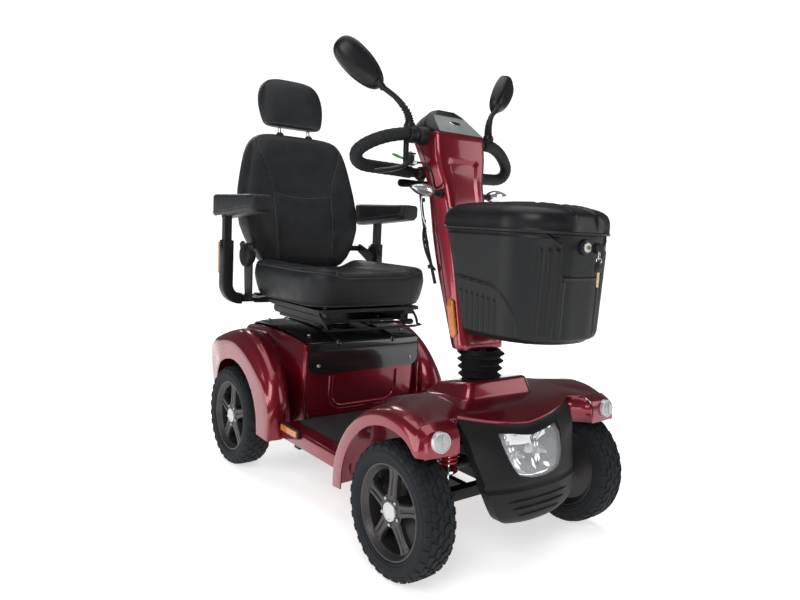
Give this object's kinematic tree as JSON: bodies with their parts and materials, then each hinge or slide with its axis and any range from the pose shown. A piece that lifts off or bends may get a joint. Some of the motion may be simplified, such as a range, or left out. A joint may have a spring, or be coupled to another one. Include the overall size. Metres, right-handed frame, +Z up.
{
  "type": "mobility scooter",
  "caption": "Mobility scooter with a tilting tiller, loop handlebar, lockable front box, swivel armchair seat and sprung front axle.",
  "frame": {"origin": "on the ground under the middle of the overall box", "axes": "+Z up, the front of the scooter faces -Y, the rider's left is +X"},
  "size_m": [0.7, 1.542, 1.357],
  "materials": {
    "paint": "candy red metallic lacquer",
    "black_plastic": "satin black, moulded",
    "gloss_black": "gloss black",
    "grey_plastic": "metallic grey, satin",
    "vinyl": "black upholstery vinyl, fine grain",
    "foam": "black foam grip",
    "rubber": "black rubber",
    "tyre": "black tyre rubber",
    "rim": "satin dark grey paint",
    "frame": "black powder coat",
    "chrome": "polished",
    "spring_red": "red paint",
    "lens": "clear",
    "cast": "bare casting",
    "battery": "dark grey case"
  },
  "bodies": {
    "chassis": {"chassis_frame": "frame", "floor_shell": "paint", "floor_mat": "rubber", "front_shroud": "paint", "front_bumper": "black_plastic", "headlight": "lens", "rear_shroud": "paint", "battery_cover": "gloss_black", "battery_left": "battery", "battery_right": "battery", "transaxle": "cast", "front_spring_left": "spring_red", "front_spring_right": "spring_red"},
    "front_axle": {"front_axle": "frame"},
    "steering_column": {"steering_column": "frame", "column_bellows": "rubber"},
    "drag_link": {"drag_link": "cast"},
    "tie_rod": {"tie_rod": "cast"},
    "tiller": {"tiller_shroud": "paint", "tiller_tube": "frame", "console_pod": "grey_plastic", "handlebar": "foam", "brake_cable": "rubber", "indicator_left": "lens", "indicator_right": "lens", "box_body": "black_plastic"},
    "throttle": {"throttle_lever": "black_plastic"},
    "brake": {"brake_lever": "black_plastic"},
    "speed_knob": {"speed_knob": "black_plastic"},
    "ignition_key": {"ignition_key": "chrome"},
    "horn_button": {"horn_button": "black_plastic"},
    "box_lid": {"box_lid": "black_plastic"},
    "box_lock": {"box_lock": "chrome"},
    "seat_post": {"seat_post": "frame"},
    "seat_swivel": {"seat_swivel": "frame"},
    "seat_lever": {"seat_lever": "frame"},
    "seat": {"seat_frame": "frame", "seat_cushion": "vinyl"},
    "backrest": {"backrest": "vinyl"},
    "headrest": {"headrest": "vinyl"},
    "front_rod_left": {"front_rod_left": "chrome"},
    "knuckle_left": {"knuckle_left": "cast"},
    "mirror_stem_left": {"mirror_stem_left": "black_plastic"},
    "mirror_head_left": {"mirror_head_left": "gloss_black"},
    "arm_tube_left": {"arm_tube_left": "frame"},
    "arm_pad_left": {"arm_pad_left": "black_plastic"},
    "wheel_front_left": {"tyre_front_left": "tyre", "rim_front_left": "rim"},
    "wheel_rear_left": {"tyre_rear_left": "tyre", "rim_rear_left": "rim"},
    "front_rod_right": {"front_rod_right": "chrome"},
    "knuckle_right": {"knuckle_right": "cast"},
    "mirror_stem_right": {"mirror_stem_right": "black_plastic"},
    "mirror_head_right": {"mirror_head_right": "gloss_black"},
    "arm_tube_right": {"arm_tube_right": "frame"},
    "arm_pad_right": {"arm_pad_right": "black_plastic"},
    "wheel_front_right": {"tyre_front_right": "tyre", "rim_front_right": "rim"},
    "wheel_rear_right": {"tyre_rear_right": "tyre", "rim_rear_right": "rim"}
  },
  "joints": [
    {"name": "tiller_steer", "type": "hinge", "parent": "chassis", "child": "steering_column", "pos_m": [0, -0.431, 0.465], "axis": [0, 0, 1], "range_deg": [-30, 30]},
    {"name": "front_suspension", "type": "hinge", "parent": "chassis", "child": "front_axle", "pos_m": [0, -0.341, 0.165], "axis": [1, 0, 0], "range_deg": [-4, 4], "stiffness_Nm_per_rad": 1500, "springref_deg": 1.72},
    {"name": "tiller_tilt", "type": "hinge", "parent": "steering_column", "child": "tiller", "pos_m": [0, -0.431, 0.465], "axis": [-1, 0, 0], "range_deg": [-8, 15], "deforming": ["column_bellows"]},
    {"name": "drag_link_pivot", "type": "hinge", "parent": "steering_column", "child": "drag_link", "pos_m": [0, -0.361, 0.212], "axis": [0, 0, 1], "range_deg": [-30, 30]},
    {"name": "kingpin_left", "type": "hinge", "parent": "front_axle", "child": "knuckle_left", "pos_m": [0.25, -0.511, 0.165], "axis": [0, 0, 1], "range_deg": [-30, 30]},
    {"name": "front_rod_slide_left", "type": "slide", "parent": "chassis", "child": "front_rod_left", "axis": [0, 0, -1], "range_m": [-0.0145, 0.0145], "deforming": ["front_spring_left"]},
    {"name": "wheel_front_left_spin", "type": "hinge", "parent": "knuckle_left", "child": "wheel_front_left", "pos_m": [0.305, -0.511, 0.165], "axis": [1, 0, 0], "continuous": true},
    {"name": "wheel_rear_left_spin", "type": "hinge", "parent": "chassis", "child": "wheel_rear_left", "pos_m": [0.305, 0.42, 0.165], "axis": [1, 0, 0], "continuous": true},
    {"name": "mirror_stem_left_turn", "type": "hinge", "parent": "tiller", "child": "mirror_stem_left", "pos_m": [0.143, -0.255, 1.096], "axis": [0, 0, 1], "range_deg": [-25, 25]},
    {"name": "mirror_head_left_turn", "type": "hinge", "parent": "mirror_stem_left", "child": "mirror_head_left", "pos_m": [0.205, -0.215, 1.192], "axis": [0.6735, 0.3141, 0.6691], "range_deg": [-12, 12]},
    {"name": "arm_tube_left_slide", "type": "slide", "parent": "seat", "child": "arm_tube_left", "axis": [1, 0, 0], "range_m": [0, 0.05]},
    {"name": "arm_pad_left_flip", "type": "hinge", "parent": "arm_tube_left", "child": "arm_pad_left", "pos_m": [0.31, 0.554, 0.845], "axis": [-1, 0, 0], "range_deg": [0, 90]},
    {"name": "kingpin_right", "type": "hinge", "parent": "front_axle", "child": "knuckle_right", "pos_m": [-0.25, -0.511, 0.165], "axis": [0, 0, 1], "range_deg": [-30, 30]},
    {"name": "front_rod_slide_right", "type": "slide", "parent": "chassis", "child": "front_rod_right", "axis": [0, 0, -1], "range_m": [-0.0145, 0.0145], "deforming": ["front_spring_right"]},
    {"name": "wheel_front_right_spin", "type": "hinge", "parent": "knuckle_right", "child": "wheel_front_right", "pos_m": [-0.305, -0.511, 0.165], "axis": [1, 0, 0], "continuous": true},
    {"name": "wheel_rear_right_spin", "type": "hinge", "parent": "chassis", "child": "wheel_rear_right", "pos_m": [-0.305, 0.42, 0.165], "axis": [1, 0, 0], "continuous": true},
    {"name": "mirror_stem_right_turn", "type": "hinge", "parent": "tiller", "child": "mirror_stem_right", "pos_m": [-0.143, -0.255, 1.096], "axis": [0, 0, 1], "range_deg": [-25, 25]},
    {"name": "mirror_head_right_turn", "type": "hinge", "parent": "mirror_stem_right", "child": "mirror_head_right", "pos_m": [-0.205, -0.215, 1.192], "axis": [-0.6735, 0.3141, 0.6691], "range_deg": [-12, 12]},
    {"name": "arm_tube_right_slide", "type": "slide", "parent": "seat", "child": "arm_tube_right", "axis": [-1, 0, 0], "range_m": [0, 0.05]},
    {"name": "arm_pad_right_flip", "type": "hinge", "parent": "arm_tube_right", "child": "arm_pad_right", "pos_m": [-0.31, 0.554, 0.845], "axis": [-1, 0, 0], "range_deg": [0, 90]},
    {"name": "tie_rod_pivot", "type": "hinge", "parent": "knuckle_left", "child": "tie_rod", "pos_m": [0.25, -0.441, 0.1305], "axis": [0, 0, 1], "range_deg": [-30, 30]},
    {"name": "throttle_turn", "type": "hinge", "parent": "tiller", "child": "throttle", "pos_m": [0, -0.211, 0.953], "axis": [0, 0, 1], "range_deg": [-10, 10], "stiffness_Nm_per_rad": 0.5},
    {"name": "brake_pull", "type": "hinge", "parent": "tiller", "child": "brake", "pos_m": [-0.14, -0.261, 1], "axis": [0, 0, -1], "range_deg": [0, 12], "stiffness_Nm_per_rad": 1, "springref_deg": -2.86},
    {"name": "speed_knob_turn", "type": "hinge", "parent": "tiller", "child": "speed_knob", "pos_m": [0, -0.1935, 1.117], "axis": [0, 0.8504, 0.5262], "range_deg": [-135, 135]},
    {"name": "ignition_key_turn", "type": "hinge", "parent": "tiller", "child": "ignition_key", "pos_m": [-0.045, -0.1935, 1.117], "axis": [0, 0.8504, 0.5262], "range_deg": [0, 60]},
    {"name": "horn_press", "type": "slide", "parent": "tiller", "child": "horn_button", "axis": [0, -0.8504, -0.5262], "range_m": [0, 0.0015], "stiffness_N_per_m": 300},
    {"name": "box_lid_open", "type": "hinge", "parent": "tiller", "child": "box_lid", "pos_m": [0, -0.433, 0.838], "axis": [-1, 0, 0], "range_deg": [0, 75]},
    {"name": "box_lock_turn", "type": "hinge", "parent": "tiller", "child": "box_lock", "pos_m": [0, -0.761, 0.806], "axis": [0, -1, 0], "range_deg": [0, 90]},
    {"name": "seat_height", "type": "slide", "parent": "chassis", "child": "seat_post", "axis": [0, 0, 1], "range_m": [0, 0.05]},
    {"name": "seat_turn", "type": "hinge", "parent": "seat_post", "child": "seat_swivel", "pos_m": [0, 0.309, 0.486], "axis": [0, 0, 1], "range_deg": [-90, 90]},
    {"name": "seat_slide", "type": "slide", "parent": "seat_swivel", "child": "seat", "axis": [0, 1, 0], "range_m": [-0.06, 0.06]},
    {"name": "seat_lever_pull", "type": "hinge", "parent": "seat_swivel", "child": "seat_lever", "pos_m": [0.05, 0.204, 0.4905], "axis": [0, 0, 1], "range_deg": [-10, 4], "stiffness_Nm_per_rad": 0.5},
    {"name": "backrest_fold", "type": "hinge", "parent": "seat", "child": "backrest", "pos_m": [0, 0.499, 0.7], "axis": [-1, 0, 0], "range_deg": [-75, 0]},
    {"name": "headrest_height", "type": "slide", "parent": "backrest", "child": "headrest", "axis": [0, 0.2419, 0.9703], "range_m": [0, 0.06]}
  ],
  "couplings": [
    {"joint": "drag_link_pivot", "follows": "tiller_steer", "ratio": -1},
    {"joint": "kingpin_left", "follows": "tiller_steer", "ratio": 1},
    {"joint": "front_rod_slide_left", "follows": "front_suspension", "m_per_rad": 0.202},
    {"joint": "kingpin_right", "follows": "tiller_steer", "ratio": 1},
    {"joint": "front_rod_slide_right", "follows": "front_suspension", "m_per_rad": 0.202},
    {"joint": "tie_rod_pivot", "follows": "tiller_steer", "ratio": -1}
  ]
}
